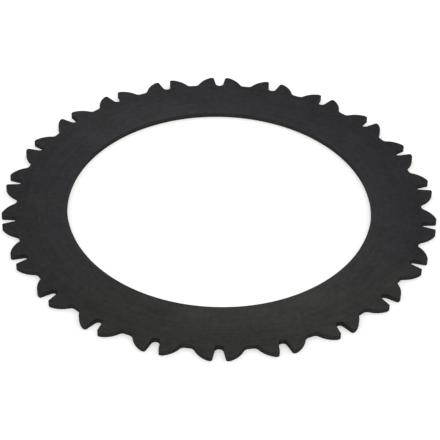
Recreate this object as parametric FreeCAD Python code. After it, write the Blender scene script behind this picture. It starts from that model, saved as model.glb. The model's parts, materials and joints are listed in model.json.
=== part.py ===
import FreeCAD, Part

import math
import os

from FreeCAD import Vector

# A flat gear wheel blanked from one piece of sheet steel: a wide ring with a plain round bore,
# and lobes all round its rim. A narrow slot splits every lobe into two prongs that mirror each
# other, and a rounded valley parts each lobe from the next.
#
# The bore runs along Z, the wheel lies on z = 0, and one slot points along +Y.

# Driving dimensions in millimetres and degrees
lobe_count = 22
bore_diameter = 150.0
ring_width = 25.0
lobe_height = 7.0
plate_thickness = 3.0

slot_depth = 7.5
slot_bottom_radius = 2.05
slot_wall_lean = 11.5

prong_land = 1.65
slot_corner_radius = 1.0
flank_corner_radius = 2.9
flank_radius = 12.2

valley_gap = 5.3
valley_corner_radius = 2.4

# What follows from them
bore_radius = bore_diameter / 2
root_radius = bore_radius + ring_width
tip_radius = root_radius + lobe_height
pitch_angle = 360.0 / lobe_count
centre = Vector(0, 0, 0)
axis = Vector(0, 0, 1)


def polar(radius, angle):
    """The point at a radius, and at an angle in degrees clockwise from +Y."""
    turn = math.radians(angle)
    return Vector(radius * math.sin(turn), radius * math.cos(turn), 0)


def angle_of(point):
    """How far round a point lies, in degrees clockwise from +Y."""
    return math.degrees(math.atan2(point.x, point.y))


def towards(start, target, distance):
    """The point at a distance from one point in the direction of another."""
    return start + (target - start).normalize() * distance


def along_to_circle(start, direction, radius):
    """Where a straight line from a point inside a circle about the wheel's axis meets it."""
    ahead = start.dot(direction)
    return start + direction * (math.sqrt(ahead ** 2 + radius ** 2 - start.Length ** 2) - ahead)


def apart(first, first_distance, second, second_distance):
    """The point at given distances from two others, to the left of the way between them."""
    way = second - first
    ahead = (first_distance ** 2 - second_distance ** 2 + way.Length ** 2) / (2 * way.Length)
    left = axis.cross(way).normalize()
    return towards(first, second, ahead) + left * math.sqrt(first_distance ** 2 - ahead ** 2)


def arc(middle, start, end):
    """The shorter arc about a centre, between two points at the same distance from it."""
    crown = towards(middle, (start + end) / 2, (start - middle).Length)
    return Part.Arc(start, crown, end).toShape()


def mirrored(edges):
    """The same edges on the other side of the slot that points along +Y."""
    return [edge.mirror(centre, Vector(1, 0, 0)) for edge in edges]


# The slot has a round bottom, and walls that leave it at a tangent and lean apart to the tips
wall_direction = polar(1, slot_wall_lean)
wall_normal = wall_direction.cross(axis)
slot_bottom = polar(tip_radius - slot_depth + slot_bottom_radius, 0)
wall_foot = slot_bottom + wall_normal * slot_bottom_radius
wall_top = along_to_circle(wall_foot, wall_direction, tip_radius)

# Each prong has a short land on the tip circle, and a flank that bulges down to the valley
land_angle = math.degrees(prong_land / tip_radius)
flank_top = polar(tip_radius, angle_of(wall_top) + land_angle)
half_gap_angle = math.degrees(math.asin(valley_gap / 2 / root_radius))
flank_foot = polar(root_radius, pitch_angle / 2 - half_gap_angle)
flank_middle = apart(flank_foot, flank_radius, flank_top, flank_radius)

# The two corners of a prong's tip are rounded as far as the land between them has room
slot_corner_turn = 90 + angle_of(wall_top) - slot_wall_lean
flank_corner_turn = angle_of(flank_top - flank_middle) - angle_of(flank_top)
slot_corner_reach = slot_corner_radius * math.tan(math.radians(slot_corner_turn / 2))
flank_corner_reach = flank_corner_radius * math.tan(math.radians(flank_corner_turn / 2))
room = min(1.0, 0.95 * prong_land / (slot_corner_reach + flank_corner_reach))
slot_round = slot_corner_radius * room
flank_round = flank_corner_radius * room

# Centres of the roundings between wall and land, land and flank, and flank and valley floor
slot_corner = along_to_circle(wall_foot + wall_normal * slot_round, wall_direction, tip_radius - slot_round)
flank_corner = apart(flank_middle, flank_radius - flank_round, centre, tip_radius - flank_round)
valley_corner = apart(
    flank_middle, flank_radius + valley_corner_radius, centre, root_radius + valley_corner_radius
)


def prong():
    """The outline of one prong, from the slot's bottom out to the tip and down to the valley."""
    wall_end = slot_corner - wall_normal * slot_round
    land_start = towards(centre, slot_corner, tip_radius)
    land_end = towards(centre, flank_corner, tip_radius)
    flank_start = towards(flank_middle, flank_corner, flank_radius)
    flank_end = towards(flank_middle, valley_corner, flank_radius)
    floor_start = towards(centre, valley_corner, root_radius)
    return [
        Part.LineSegment(wall_foot, wall_end).toShape(),
        arc(slot_corner, wall_end, land_start),
        arc(centre, land_start, land_end),
        arc(flank_corner, land_end, flank_start),
        arc(flank_middle, flank_start, flank_end),
        arc(valley_corner, flank_end, floor_start),
    ]


def lobe():
    """One lobe's outline, with its slot, and the valley floor that follows it."""
    slot_end = arc(slot_bottom, Vector(-wall_foot.x, wall_foot.y, 0), wall_foot)
    floor_angle = angle_of(valley_corner)
    valley_floor = arc(
        centre, polar(root_radius, floor_angle), polar(root_radius, pitch_angle - floor_angle)
    )
    return mirrored(prong()) + [slot_end] + prong() + [valley_floor]


def toothed_ring():
    """The whole wheel: the lobes set round the rim, and the ring between them and the bore."""
    rim = []
    for number in range(lobe_count):
        rim += [edge.rotated(centre, axis, number * pitch_angle) for edge in lobe()]
    outline = Part.Wire(Part.sortEdges(rim)[0])
    bore = Part.Wire(Part.Circle(centre, axis, bore_radius).toShape())
    section = Part.makeFace([outline, bore], "Part::FaceMakerBullseye")
    return section.extrude(axis * plate_thickness)


os.makedirs("parts", exist_ok=True)
toothed_ring().exportStep("parts/toothed_ring.step")
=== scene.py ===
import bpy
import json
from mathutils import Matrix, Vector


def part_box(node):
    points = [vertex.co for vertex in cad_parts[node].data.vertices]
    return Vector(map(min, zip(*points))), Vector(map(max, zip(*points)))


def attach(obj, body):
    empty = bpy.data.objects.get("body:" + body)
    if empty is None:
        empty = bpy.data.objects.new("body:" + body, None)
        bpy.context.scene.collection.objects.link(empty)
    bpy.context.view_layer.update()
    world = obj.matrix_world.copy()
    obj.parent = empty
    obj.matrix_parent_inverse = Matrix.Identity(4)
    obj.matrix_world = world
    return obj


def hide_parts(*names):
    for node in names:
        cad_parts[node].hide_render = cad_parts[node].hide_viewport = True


bl_info = {
    "name": "Gear wheel",
    "version": (1, 0, 0),
    "blender": (4, 5, 0),
    "location": "3D View > Sidebar > Gear wheel",
    "description": "Models a gear wheel of blackened sheet steel and sets it in a plain studio",
    "category": "Object",
}

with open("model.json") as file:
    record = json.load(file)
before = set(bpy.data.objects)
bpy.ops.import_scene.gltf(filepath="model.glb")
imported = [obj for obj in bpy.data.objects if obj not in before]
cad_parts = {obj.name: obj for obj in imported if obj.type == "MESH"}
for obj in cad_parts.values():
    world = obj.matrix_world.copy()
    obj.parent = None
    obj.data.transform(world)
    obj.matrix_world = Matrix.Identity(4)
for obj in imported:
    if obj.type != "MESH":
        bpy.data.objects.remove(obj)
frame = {"nodes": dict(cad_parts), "record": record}

import json
import math

import bmesh
import bpy
from bpy.props import FloatProperty, FloatVectorProperty, IntProperty, PointerProperty
from mathutils import Matrix, Vector

NODE = "toothed_ring"
BODY = "root"

MM = 0.001
AXIS = Vector((0, 0, 1))
CENTRE = Vector((0, 0, 0))
WHITE = (1, 1, 1, 1)

# What the frame gives: the box of the CAD model, the bore, the circle of the tips and the plate
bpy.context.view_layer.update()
BORE = next(mount for mount in frame["record"]["mounts"] if mount["name"] == "bore")
BORE_RADIUS = BORE["dims"]["r_mm"] * MM
TIP_RADIUS = max(point.co.xy.length for point in frame["nodes"][NODE].data.vertices)
PLATE_BOTTOM, PLATE_TOP = (corner.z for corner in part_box(NODE))

# Two points nearer than this are one
MERGE_DISTANCE = 0.001 * MM

# How many facets a broken edge is rounded in, and how far in from the plate's face the loop beside
# it runs, in edge breaks
EDGE_FACETS = 3
LOOP_INSET = 1.5

# Sizes and depths of the ground faces' patterns, in millimetres. The grinding lay's real pitch is
# about 0.1 mm and the oxide's crystals are finer still. What is much finer than a pixel of the
# image, which is about 0.5 mm, doesn't show, so both are drawn coarser. A stroke's length is
# measured at the tips
LAY_PITCH = 1.1
LAY_STROKE = 40
LAY_DEPTH = 0.006
GRAIN_SIZE = 2
GRAIN_DEPTH = 0.01
CLOUD_SIZE = 20
CLOUD_DEPTH = 0.05
CAST_SIZE = 50

# Those of the blanked walls. The punch's streaks are about 0.1 mm apart in reality, and are drawn
# a pixel of the image apart
STREAK_PITCH = 0.5
STREAK_LENGTH = 8
STREAK_DEPTH = 0.02
PATCH_SIZE = 6

# What every noise has: features one unit of its vector long, whose finer detail shows clearly
NOISE = {"Scale": 1, "Roughness": 0.65}

# Nearly all of a noise's values lie between these
NOISE_SPREAD = {"From Min": 0.3, "From Max": 0.7}

# Where in their noises the clouds and the casts begin, which sets where on the wheel they lie
CLOUDS_START = (17.0, 33.1, 5.0)
CASTS_START = (4.1, 13.7, 10.6)

# What each pattern adds to the lightening of the faces' colour, and the sum at which it starts
INWARD_SHARE = 0.1
CLOUD_SHARE = 0.7
GRAIN_SHARE = 1.4
LAY_SHARE = 0.8
THIN_FROM = 1.05

# The side that the faces' cast is cool towards, clockwise from +Y, what it counts for beside the
# noise, and the values between which their sum turns the cast from brownish to cool
COOL_SIDE = math.radians(10)
SIDE_SHARE = 0.3
CAST_SPREAD = {"From Min": 0.25, "From Max": 0.65}

# What the oxide keeps of a bare metal's shine where it is seen nearly edge on
EDGE_ON = (0.5, 0.5, 0.5, 1)

# A quarter turn, because light spreads across the lay and the tangent runs along it
ACROSS_THE_LAY = 0.25

# Where the Mix node's sockets for its factor, its two colours and their mix are among the others
MIX_FACTOR = 0
MIX_FIRST = 6
MIX_SECOND = 7
MIX_RESULT = 2

# The image is 440 pixels square, and the middle of the bore, at the height of the top face, is
# seen at this pixel, counted from the image's top left corner
IMAGE_SIZE = 440
BORE_PIXEL = Vector((219.36, 202.46))

# Width of the frame that the lens is given for, in millimetres
SENSOR_WIDTH = 36.0

# From the wheel's axis to each side of the floor, in metres
FLOOR_REACH = 30.0


def linear(hex_colour):
    """An sRGB hex colour, such as #2b2b2d, as the linear red, green and blue that shaders take."""
    parts = [int(hex_colour[i:i + 2], 16) / 255 for i in (1, 3, 5)]
    return tuple(c / 12.92 if c <= 0.04045 else ((c + 0.055) / 1.055) ** 2.4 for c in parts)


class WheelSizes(bpy.types.PropertyGroup):
    """The plate and its rim, where a slot splits each lobe into two prongs that mirror each other"""

    lobes: IntProperty(name="Lobes", description="Split lobes round the rim", default=22, min=8)
    bore: FloatProperty(
        name="Bore radius", description="Radius of the plain bore",
        default=BORE_RADIUS, unit="LENGTH",
    )
    tip: FloatProperty(
        name="Tip radius", description="Radius of the circle that every prong ends on",
        default=TIP_RADIUS, unit="LENGTH",
    )
    lobe_height: FloatProperty(
        name="Lobe height", description="From a valley's floor out to the tips",
        default=7 * MM, unit="LENGTH",
    )
    slot_depth: FloatProperty(
        name="Slot depth", description="From the tips in to a slot's bottom",
        default=7.5 * MM, unit="LENGTH",
    )
    slot_bottom: FloatProperty(
        name="Slot bottom", description="Radius of a slot's round bottom",
        default=2.05 * MM, unit="LENGTH",
    )
    slot_lean: FloatProperty(
        name="Slot lean", description="How far each wall of a slot leans from the slot's middle",
        default=math.radians(11.5), unit="ROTATION",
    )
    land: FloatProperty(
        name="Land", description="Width of a prong's end before its corners are rounded",
        default=1.65 * MM, unit="LENGTH",
    )
    slot_corner: FloatProperty(
        name="Slot corner", description="Rounding between a slot's wall and the land",
        default=1 * MM, unit="LENGTH",
    )
    flank_corner: FloatProperty(
        name="Flank corner", description="Rounding between the land and the flank",
        default=2.9 * MM, unit="LENGTH",
    )
    flank: FloatProperty(
        name="Flank", description="Radius that a prong's flank bulges with",
        default=12.2 * MM, unit="LENGTH",
    )
    valley_gap: FloatProperty(
        name="Valley gap", description="From flank to flank at a valley's floor before it is rounded",
        default=5.3 * MM, unit="LENGTH",
    )
    valley_corner: FloatProperty(
        name="Valley corner", description="Rounding between the flank and a valley's floor",
        default=2.4 * MM, unit="LENGTH",
    )
    edge_break: FloatProperty(
        name="Edge break", description="How far tumbling has rounded the edges",
        default=0.1 * MM, unit="LENGTH",
    )
    arc_step: FloatProperty(
        name="Arc step", description="The most that an arc turns from one point to the next",
        default=math.radians(9), unit="ROTATION",
    )


class WheelFinish(bpy.types.PropertyGroup):
    """The colours and gloss of the blackened steel"""

    face: FloatVectorProperty(
        name="Face", description="Black oxide on the flat faces",
        default=linear("#292929"), min=0, max=1, subtype="COLOR",
    )
    face_thin: FloatVectorProperty(
        name="Thin on face", description="The oxide where the faces took less of it",
        default=linear("#373737"), min=0, max=1, subtype="COLOR",
    )
    cool: FloatVectorProperty(
        name="Cool cast", description="What tints the faces where the oxide is bluish",
        default=linear("#f6f5ff"), min=0, max=1, subtype="COLOR",
    )
    warm: FloatVectorProperty(
        name="Warm cast", description="What tints the faces where the oxide is brownish",
        default=linear("#fffefa"), min=0, max=1, subtype="COLOR",
    )
    wall: FloatVectorProperty(
        name="Wall", description="Black oxide on the blanked walls",
        default=linear("#2e2e2e"), min=0, max=1, subtype="COLOR",
    )
    wall_thin: FloatVectorProperty(
        name="Thin on wall", description="The oxide on the walls' brighter streaks",
        default=linear("#353535"), min=0, max=1, subtype="COLOR",
    )
    # Lighter colour of the rounded edges: partly rubbed oxide, partly a painted highlight along them
    edge: FloatVectorProperty(
        name="Rubbed edge", description="The oxide where handling has rubbed the edges",
        default=linear("#464646"), min=0, max=1, subtype="COLOR",
    )
    bore_roughness: FloatProperty(
        name="Roughness at bore", description="Roughness of the faces at the bore, outside the clouds",
        default=0.45, min=0, max=1, subtype="FACTOR",
    )
    rim_roughness: FloatProperty(
        name="Roughness at rim", description="Roughness of the faces at the rim, outside the clouds",
        default=0.55, min=0, max=1, subtype="FACTOR",
    )
    cloud_gloss: FloatProperty(
        name="Gloss in clouds", description="How much less rough the faces are in the clouds",
        default=0.1, min=0, max=1, subtype="FACTOR",
    )
    lay: FloatProperty(
        name="Lay", description="How far the grinding lay stretches highlights across itself",
        default=0.88, min=0, max=1, subtype="FACTOR",
    )
    wall_roughness: FloatVectorProperty(
        name="Wall roughness", description="Lowest and highest roughness of the walls' patches",
        default=(0.5, 0.6), size=2, min=0, max=1,
    )


class Studio(bpy.types.PropertyGroup):
    """The camera, the floor and the lights"""

    elevation: FloatProperty(
        name="Elevation", description="How far the view looks down on the wheel",
        default=math.radians(39.604), unit="ROTATION",
    )
    azimuth: FloatProperty(
        name="Azimuth", description="Turn of the camera about the bore, from straight in front",
        default=math.radians(-0.778), unit="ROTATION",
    )
    roll: FloatProperty(
        name="Roll", description="Turn of the camera about its line of sight",
        default=math.radians(-1.278), unit="ROTATION",
    )
    distance: FloatProperty(
        name="Distance", description="From the camera to the middle of the bore",
        default=771.25 * MM, unit="LENGTH",
    )
    lens: FloatProperty(
        name="Lens", description="Focal length on a frame 36 mm wide",
        default=127.57, min=1, unit="CAMERA",
    )
    floor: FloatVectorProperty(
        name="Floor", description="What the pale floor gives back of the light from above",
        default=linear("#c4c4c2"), min=0, max=1, subtype="COLOR",
    )
    floor_roughness: FloatProperty(
        name="Floor roughness", description="Roughness of the matt floor",
        default=0.95, min=0, max=1, subtype="FACTOR",
    )
    floor_glow: FloatProperty(
        name="Floor glow", description="Even white light that comes up through the floor",
        default=0.35, min=0,
    )
    room: FloatProperty(
        name="Room light", description="Even light from all round", default=1.3, min=0,
    )
    softbox: FloatProperty(
        name="Softbox power", description="Power of the light overhead, in watts",
        default=28, min=0, unit="POWER",
    )
    softbox_size: FloatVectorProperty(
        name="Softbox size", description="Length of the light's two sides",
        default=(3.6, 2.7), size=2, min=0, unit="LENGTH",
    )
    softbox_place: FloatVectorProperty(
        name="Softbox place", description="Where the light hangs: overhead, to the right and behind",
        default=(1.15, 1.4, 4), subtype="XYZ", unit="LENGTH",
    )


def polar(radius, angle):
    """The point at a radius, and at an angle clockwise from the middle of the slot on +Y."""
    return Vector((radius * math.sin(angle), radius * math.cos(angle), 0))


def angle_of(point):
    """How far round a point lies, clockwise from +Y."""
    return math.atan2(point.x, point.y)


def along_to_circle(start, direction, radius):
    """Where a straight line from a point inside a circle about the wheel's axis meets it."""
    ahead = start.dot(direction)
    return start + direction * (math.sqrt(ahead ** 2 + radius ** 2 - start.length_squared) - ahead)


def apart(first, first_distance, second, second_distance):
    """The point at given distances from two others, to the left of the way between them."""
    way = second - first
    ahead = (first_distance ** 2 - second_distance ** 2 + way.length_squared) / (2 * way.length)
    aside = math.sqrt(first_distance ** 2 - ahead ** 2)
    return first + way.normalized() * ahead + AXIS.cross(way).normalized() * aside


def spin_to(shape, point, middle, end, step):
    """Draws the shorter arc about a centre, from a point on, and returns the point it ends on."""
    turn = (point.co - middle).xy.angle_signed((end - middle).xy)
    steps = max(1, math.ceil(abs(turn) / step))
    arc = bmesh.ops.spin(shape, geom=[point], cent=middle, axis=AXIS, angle=-turn, steps=steps)
    return next(part for part in arc["geom_last"] if isinstance(part, bmesh.types.BMVert))


def half_lobe(shape, sizes):
    """Draws one prong's outline, from the middle of the slot's bottom to the middle of the valley."""
    root = sizes.tip - sizes.lobe_height
    valley = math.pi / sizes.lobes
    wall = polar(1, sizes.slot_lean)
    aside = wall.cross(AXIS)

    slot_bottom = polar(sizes.tip - sizes.slot_depth + sizes.slot_bottom, 0)
    wall_foot = slot_bottom + aside * sizes.slot_bottom
    wall_top = along_to_circle(wall_foot, wall, sizes.tip)
    flank_top = polar(sizes.tip, angle_of(wall_top) + sizes.land / sizes.tip)
    flank_foot = polar(root, valley - math.asin(sizes.valley_gap / 2 / root))
    flank = apart(flank_foot, sizes.flank, flank_top, sizes.flank)

    # The roundings' centres lie at an equal distance from the two lines that each one joins
    slot_corner = along_to_circle(
        wall_foot + aside * sizes.slot_corner, wall, sizes.tip - sizes.slot_corner
    )
    flank_corner = apart(
        flank, sizes.flank - sizes.flank_corner, CENTRE, sizes.tip - sizes.flank_corner
    )
    valley_corner = apart(
        flank, sizes.flank + sizes.valley_corner, CENTRE, root + sizes.valley_corner
    )

    start = bmesh.ops.create_vert(shape, co=polar(sizes.tip - sizes.slot_depth, 0))["vert"][0]
    point = spin_to(shape, start, slot_bottom, wall_foot, sizes.arc_step)
    point = bmesh.ops.extrude_vert_indiv(shape, verts=[point])["verts"][0]
    point.co = slot_corner - aside * sizes.slot_corner
    for middle, end in (
        (slot_corner, slot_corner.normalized() * sizes.tip),
        (CENTRE, flank_corner.normalized() * sizes.tip),
        (flank_corner, flank + (flank_corner - flank).normalized() * sizes.flank),
        (flank, flank + (valley_corner - flank).normalized() * sizes.flank),
        (valley_corner, valley_corner.normalized() * root),
        (CENTRE, polar(root, valley)),
    ):
        point = spin_to(shape, point, middle, end, sizes.arc_step)


def rim(shape, sizes):
    """Draws the whole rim: the half lobe, mirrored over its slot and repeated round the wheel."""
    half_lobe(shape, sizes)
    bmesh.ops.mirror(
        shape, geom=shape.verts[:] + shape.edges[:], matrix=Matrix.Identity(4),
        merge_dist=MERGE_DISTANCE, axis="X",
    )
    pitch = 2 * math.pi / sizes.lobes
    bmesh.ops.spin(
        shape, geom=shape.verts[:] + shape.edges[:], cent=CENTRE, axis=AXIS,
        angle=2 * math.pi - pitch, steps=sizes.lobes - 1, use_duplicate=True,
    )
    bmesh.ops.remove_doubles(shape, verts=shape.verts, dist=MERGE_DISTANCE)


def is_level(face):
    """True for a face that is nearer to level than to upright, as the plate's two faces are."""
    return abs(face.normal.z) > face.normal.xy.length


def wheel_mesh(sizes):
    """The plate as a closed mesh, whose blanked walls and broken edges have the second material."""
    shape = bmesh.new()
    rim(shape, sizes)

    # The ring's face runs from each point of the rim straight in to the bore
    ring = bmesh.ops.extrude_edge_only(shape, edges=shape.edges)
    for part in ring["geom"]:
        if isinstance(part, bmesh.types.BMVert):
            part.co = part.co.normalized() * sizes.bore
    bmesh.ops.translate(shape, verts=shape.verts, vec=AXIS * PLATE_BOTTOM)
    upper = bmesh.ops.extrude_face_region(shape, geom=shape.faces)
    upper_points = [part for part in upper["geom"] if isinstance(part, bmesh.types.BMVert)]
    bmesh.ops.translate(shape, verts=upper_points, vec=AXIS * (PLATE_TOP - PLATE_BOTTOM))
    bmesh.ops.recalc_face_normals(shape, faces=shape.faces)

    edges = [
        edge for edge in shape.edges
        if is_level(edge.link_faces[0]) != is_level(edge.link_faces[1])
    ]
    rounding = bmesh.ops.bevel(
        shape, geom=edges, offset=sizes.edge_break, offset_type="OFFSET", affect="EDGES",
        segments=EDGE_FACETS, profile=0.5, material=-1, clamp_overlap=False, loop_slide=False,
    )
    broken = set(rounding["faces"])

    # A loop close to each broken edge keeps the shading of the walls between them flat
    inset = LOOP_INSET * sizes.edge_break
    for height in (PLATE_BOTTOM + inset, PLATE_TOP - inset):
        bmesh.ops.bisect_plane(
            shape, geom=shape.verts[:] + shape.edges[:] + shape.faces[:], dist=MERGE_DISTANCE,
            plane_co=AXIS * height, plane_no=AXIS,
        )
    shape.normal_update()
    for face in shape.faces:
        is_wall = face in broken or not is_level(face)
        face.smooth = is_wall
        face.material_index = int(is_wall)

    mesh = bpy.data.meshes.new("gear_wheel_plate")
    shape.to_mesh(mesh)
    shape.free()
    return mesh


def per_feature(size):
    """The scale that gives a texture in metres features of one size in millimetres."""
    return 1 / (size * MM)


def add_node(tree, kind, output, inputs, **settings):
    """Adds a shader node with its settings, gives each input its value, or a link from another
    node's output, and returns one of the new node's own outputs."""
    node = tree.nodes.new("ShaderNode" + kind)
    for name, value in settings.items():
        setattr(node, name, value)
    for name, value in inputs.items():
        if isinstance(value, bpy.types.NodeSocket):
            tree.links.new(value, node.inputs[name])
        else:
            node.inputs[name].default_value = value
    return node.outputs[output]


def metal(name):
    """A bare metal material: its node tree and its shader."""
    material = bpy.data.materials.new(name)
    material.use_nodes = True
    shader = material.node_tree.nodes["Principled BSDF"]
    shader.inputs["Metallic"].default_value = 1
    shader.inputs["Specular Tint"].default_value = EDGE_ON
    return material, material.node_tree, shader


def blackened_face(finish, sizes):
    """Black oxide on steel sheet that was ground round and round: satin, with a faint bow of light
    across the lay, clouds where the salt bath took unevenly, and a cool or brown cast to them."""
    material, tree, shader = metal("black_oxide_on_ground_steel")
    place = add_node(tree, "TexCoord", "Object", {})
    level = add_node(tree, "Mapping", "Vector", {"Vector": place, "Scale": (1, 1, 0)})
    radius = add_node(tree, "VectorMath", "Value", {0: level}, operation="LENGTH")
    root = sizes.tip - sizes.lobe_height
    bore_to_root = {"Value": radius, "From Min": sizes.bore, "From Max": root}

    # Rings of grinding lay about the wheel's axis, broken into strokes
    rings = add_node(
        tree, "Math", "Value", {0: radius, 1: per_feature(LAY_PITCH)}, operation="MULTIPLY"
    )
    rings = add_node(tree, "CombineXYZ", "Vector", {"Z": rings})
    outward = add_node(tree, "VectorMath", "Vector", {0: level}, operation="NORMALIZE")
    strokes = [per_feature(LAY_STROKE) * sizes.tip] * 3
    lay = add_node(
        tree, "VectorMath", "Vector", {0: outward, 1: strokes, 2: rings}, operation="MULTIPLY_ADD"
    )
    lay = add_node(tree, "TexNoise", "Fac", {"Vector": lay, "Detail": 2, **NOISE})

    # The clouds in the oxide, its grain, and the patches of its cast
    noises = []
    for size, start, detail in (
        (CLOUD_SIZE, CLOUDS_START, 4), (GRAIN_SIZE, CENTRE, 4), (CAST_SIZE, CASTS_START, 3),
    ):
        scale = [per_feature(size)] * 3
        moved = add_node(
            tree, "Mapping", "Vector", {"Vector": place, "Scale": scale, "Location": start}
        )
        noises.append(add_node(tree, "TexNoise", "Fac", {"Vector": moved, "Detail": detail, **NOISE}))
    clouds, grain, casts = noises

    # The oxide is thinner in the clouds and on the grain, and the faces' colour is a little lighter
    # from the rim to the bore
    inward = add_node(
        tree, "MapRange", "Result", {**bore_to_root, "To Min": 1, "To Max": 0},
        interpolation_type="SMOOTHSTEP",
    )
    thin = 0
    for part, share in (
        (inward, INWARD_SHARE), (clouds, CLOUD_SHARE), (grain, GRAIN_SHARE), (lay, LAY_SHARE),
    ):
        thin = add_node(tree, "Math", "Value", {0: part, 1: share, 2: thin}, operation="MULTIPLY_ADD")
    thin = add_node(tree, "Math", "Value", {0: thin, 1: THIN_FROM}, operation="SUBTRACT")
    oxide = add_node(
        tree, "Mix", MIX_RESULT,
        {MIX_FACTOR: thin, MIX_FIRST: (*finish.face, 1), MIX_SECOND: (*finish.face_thin, 1)},
        data_type="RGBA",
    )

    # The cast turns from brownish to cool across the wheel, from its near side to its far side
    across = add_node(
        tree, "VectorMath", "Value", {0: place, 1: polar(1 / sizes.tip, COOL_SIDE)},
        operation="DOT_PRODUCT",
    )
    coolness = add_node(
        tree, "Math", "Value", {0: across, 1: SIDE_SHARE, 2: casts}, operation="MULTIPLY_ADD"
    )
    coolness = add_node(
        tree, "MapRange", "Result", {"Value": coolness, **CAST_SPREAD},
        interpolation_type="SMOOTHSTEP",
    )
    cast = add_node(
        tree, "Mix", MIX_RESULT,
        {MIX_FACTOR: coolness, MIX_FIRST: (*finish.warm, 1), MIX_SECOND: (*finish.cool, 1)},
        data_type="RGBA",
    )
    colour = add_node(
        tree, "Mix", MIX_RESULT, {MIX_FACTOR: 1, MIX_FIRST: oxide, MIX_SECOND: cast},
        data_type="RGBA", blend_type="MULTIPLY",
    )
    tree.links.new(colour, shader.inputs["Base Color"])

    rough = add_node(
        tree, "MapRange", "Result",
        {**bore_to_root, "To Min": finish.bore_roughness, "To Max": finish.rim_roughness},
        interpolation_type="SMOOTHSTEP",
    )
    rough = add_node(
        tree, "Math", "Value", {0: clouds, 1: -finish.cloud_gloss, 2: rough},
        operation="MULTIPLY_ADD",
    )
    tree.links.new(rough, shader.inputs["Roughness"])

    normal = add_node(tree, "Bump", "Normal", {"Height": lay, "Distance": LAY_DEPTH * MM})
    for height, depth in ((grain, GRAIN_DEPTH), (clouds, CLOUD_DEPTH)):
        normal = add_node(
            tree, "Bump", "Normal", {"Height": height, "Distance": depth * MM, "Normal": normal}
        )
    tree.links.new(normal, shader.inputs["Normal"])

    shader.inputs["Anisotropic"].default_value = finish.lay
    shader.inputs["Anisotropic Rotation"].default_value = ACROSS_THE_LAY
    tangent = add_node(tree, "Tangent", "Tangent", {}, direction_type="RADIAL", axis="Z")
    tree.links.new(tangent, shader.inputs["Tangent"])
    return material


def blackened_wall(finish, sizes):
    """Black oxide on the wall that blanking leaves: duller than the faces, and streaked from face to
    face by the punch. The rounded edges have it too, lighter in patches: partly rubbed oxide and
    partly a painted highlight along the edges."""
    material, tree, shader = metal("black_oxide_on_blanked_edge")
    place = add_node(tree, "TexCoord", "Object", {})
    noises = []
    for along, upright in ((STREAK_PITCH, STREAK_LENGTH), (PATCH_SIZE, PATCH_SIZE)):
        scale = (per_feature(along), per_feature(along), per_feature(upright))
        stretched = add_node(tree, "Mapping", "Vector", {"Vector": place, "Scale": scale})
        noises.append(add_node(tree, "TexNoise", "Fac", {"Vector": stretched, "Detail": 2, **NOISE}))
    streaks, patches = noises
    bright = add_node(
        tree, "MapRange", "Result", {"Value": streaks, **NOISE_SPREAD},
        interpolation_type="SMOOTHSTEP",
    )
    oxide = add_node(
        tree, "Mix", MIX_RESULT,
        {MIX_FACTOR: bright, MIX_FIRST: (*finish.wall, 1), MIX_SECOND: (*finish.wall_thin, 1)},
        data_type="RGBA",
    )

    # The edges are lighter in patches, here more and there less: partly oxide rubbed by handling,
    # partly a painted highlight along the edges
    middle = (PLATE_TOP + PLATE_BOTTOM) / 2
    top = PLATE_TOP - middle
    height = add_node(tree, "SeparateXYZ", "Z", {0: place})
    height = add_node(tree, "Math", "Value", {0: height, 1: middle}, operation="SUBTRACT")
    height = add_node(tree, "Math", "Value", {0: height}, operation="ABSOLUTE")
    wear_and_highlight_band = add_node(
        tree, "MapRange", "Result",
        {"Value": height, "From Min": top - sizes.edge_break, "From Max": top},
        interpolation_type="SMOOTHSTEP",
    )
    rubbed = add_node(tree, "Math", "Value", {0: wear_and_highlight_band, 1: patches}, operation="MULTIPLY")
    colour = add_node(
        tree, "Mix", MIX_RESULT,
        {MIX_FACTOR: rubbed, MIX_FIRST: oxide, MIX_SECOND: (*finish.edge, 1)},
        data_type="RGBA",
    )
    tree.links.new(colour, shader.inputs["Base Color"])

    low, high = finish.wall_roughness
    rough = add_node(
        tree, "MapRange", "Result", {"Value": patches, **NOISE_SPREAD, "To Min": low, "To Max": high},
        interpolation_type="SMOOTHSTEP",
    )
    tree.links.new(rough, shader.inputs["Roughness"])
    normal = add_node(tree, "Bump", "Normal", {"Height": streaks, "Distance": STREAK_DEPTH * MM})
    tree.links.new(normal, shader.inputs["Normal"])
    return material


class WheelPlate(bpy.types.Operator):
    """Make the gear wheel's plate in place of the CAD solid"""

    bl_idname = "gear_wheel.plate"
    bl_label = "Make the wheel"

    def execute(self, context):
        sizes = context.scene.gear_wheel_sizes
        finish = context.scene.gear_wheel_finish
        mesh = wheel_mesh(sizes)
        mesh.materials.append(blackened_face(finish, sizes))
        mesh.materials.append(blackened_wall(finish, sizes))
        plate = bpy.data.objects.new("gear_wheel_plate", mesh)
        context.scene.collection.objects.link(plate)
        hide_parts(NODE)
        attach(plate, BODY)
        return {"FINISHED"}


def pale_floor(studio):
    """Opal acrylic of a light table, matt and lit a little from below: it shows as plain white, and
    takes only a faint shadow at the wheel's foot."""
    material = bpy.data.materials.new("matt_opal_acrylic")
    material.use_nodes = True
    shader = material.node_tree.nodes["Principled BSDF"]
    shader.inputs["Base Color"].default_value = (*studio.floor, 1)
    shader.inputs["Roughness"].default_value = studio.floor_roughness
    shader.inputs["Emission Color"].default_value = WHITE
    shader.inputs["Emission Strength"].default_value = studio.floor_glow
    return material


def floor_sheet(scene, studio):
    """The floor, level with the plate's bottom face and far wider than any view of the wheel."""
    shape = bmesh.new()
    bmesh.ops.create_grid(shape, x_segments=1, y_segments=1, size=FLOOR_REACH)
    bmesh.ops.translate(shape, verts=shape.verts, vec=AXIS * PLATE_BOTTOM)
    mesh = bpy.data.meshes.new("floor")
    shape.to_mesh(mesh)
    shape.free()
    mesh.materials.append(pale_floor(studio))
    floor = bpy.data.objects.new("floor", mesh)
    scene.collection.objects.link(floor)


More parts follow.
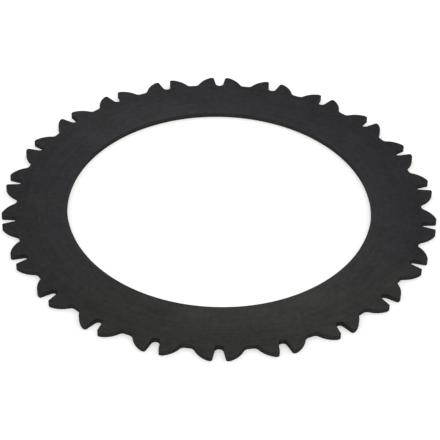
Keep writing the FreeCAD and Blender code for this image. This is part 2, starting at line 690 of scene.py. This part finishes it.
def camera(scene, studio):
    """The camera, turned so that the middle of the bore is seen at its pixel."""
    data = bpy.data.cameras.new("camera")
    data.sensor_width = SENSOR_WIDTH
    data.lens = studio.lens
    eye = bpy.data.objects.new("camera", data)
    scene.collection.objects.link(eye)
    scene.camera = eye

    back = Vector((0, -math.cos(studio.elevation), math.sin(studio.elevation)))
    right = Vector((1, 0, 0))
    towards_bore = Matrix((right, back.cross(right), back))
    lens_in_pixels = IMAGE_SIZE * studio.lens / SENSOR_WIDTH
    aside = BORE_PIXEL - Vector((IMAGE_SIZE / 2, IMAGE_SIZE / 2))
    sight = Vector((aside.x / lens_in_pixels, -aside.y / lens_in_pixels, -1))
    aim = Vector((0, 0, -1)).rotation_difference(sight).to_matrix()
    turn = aim @ Matrix.Rotation(studio.roll, 3, "Z") @ towards_bore
    place = Matrix.Translation(back * studio.distance) @ turn.transposed().to_4x4()
    around = Matrix.Translation(AXIS * PLATE_TOP) @ Matrix.Rotation(studio.azimuth, 4, "Z")
    eye.matrix_world = around @ place


def softbox(scene, studio):
    """One wide soft light, turned to the wheel."""
    data = bpy.data.lights.new("softbox", "AREA")
    data.shape = "RECTANGLE"
    data.size, data.size_y = studio.softbox_size
    data.energy = studio.softbox
    light = bpy.data.objects.new("softbox", data)
    light.location = studio.softbox_place
    light.rotation_mode = "QUATERNION"
    light.rotation_quaternion = light.location.to_track_quat("Z", "Y")
    scene.collection.objects.link(light)


def room_light(scene, studio):
    """Even light from the walls and the ceiling of a white room."""
    world = bpy.data.worlds.new("white_room")
    world.use_nodes = True
    background = world.node_tree.nodes["Background"]
    background.inputs["Color"].default_value = WHITE
    background.inputs["Strength"].default_value = studio.room
    scene.world = world


class StudioStage(bpy.types.Operator):
    """Set the wheel on a pale floor in soft light, seen from in front and above"""

    bl_idname = "gear_wheel.stage"
    bl_label = "Set the stage"

    def execute(self, context):
        scene = context.scene
        studio = scene.gear_wheel_studio
        floor_sheet(scene, studio)
        camera(scene, studio)
        softbox(scene, studio)
        room_light(scene, studio)
        scene.view_settings.view_transform = "Standard"
        return {"FINISHED"}


class WheelPanel(bpy.types.Panel):
    """Lists the steps that build the wheel and its stage, with their settings"""

    bl_idname = "VIEW3D_PT_gear_wheel"
    bl_label = "Gear wheel"
    bl_space_type = "VIEW_3D"
    bl_region_type = "UI"
    bl_category = "Gear wheel"

    def draw(self, context):
        scene = context.scene
        for heading, group, step in (
            ("Sizes", scene.gear_wheel_sizes, None),
            ("Finish", scene.gear_wheel_finish, WheelPlate),
            ("Studio", scene.gear_wheel_studio, StudioStage),
        ):
            box = self.layout.box()
            box.label(text=heading)
            for name in group.__annotations__:
                box.prop(group, name)
            if step:
                box.operator(step.bl_idname)


CLASSES = (WheelSizes, WheelFinish, Studio, WheelPlate, StudioStage, WheelPanel)
SETTINGS = {
    "gear_wheel_sizes": WheelSizes,
    "gear_wheel_finish": WheelFinish,
    "gear_wheel_studio": Studio,
}


def register():
    """Adds the panel and its steps, and gives every scene the wheel's and the studio's settings."""
    for kind in CLASSES:
        bpy.utils.register_class(kind)
    for name, group in SETTINGS.items():
        setattr(bpy.types.Scene, name, PointerProperty(type=group))


def unregister():
    """Takes away again what register adds."""
    for name in SETTINGS:
        delattr(bpy.types.Scene, name)
    for kind in reversed(CLASSES):
        bpy.utils.unregister_class(kind)


def main():
    """Builds the wheel and its stage."""
    register()
    bpy.ops.gear_wheel.plate()
    bpy.ops.gear_wheel.stage()


if __name__ == "__main__":
    main()
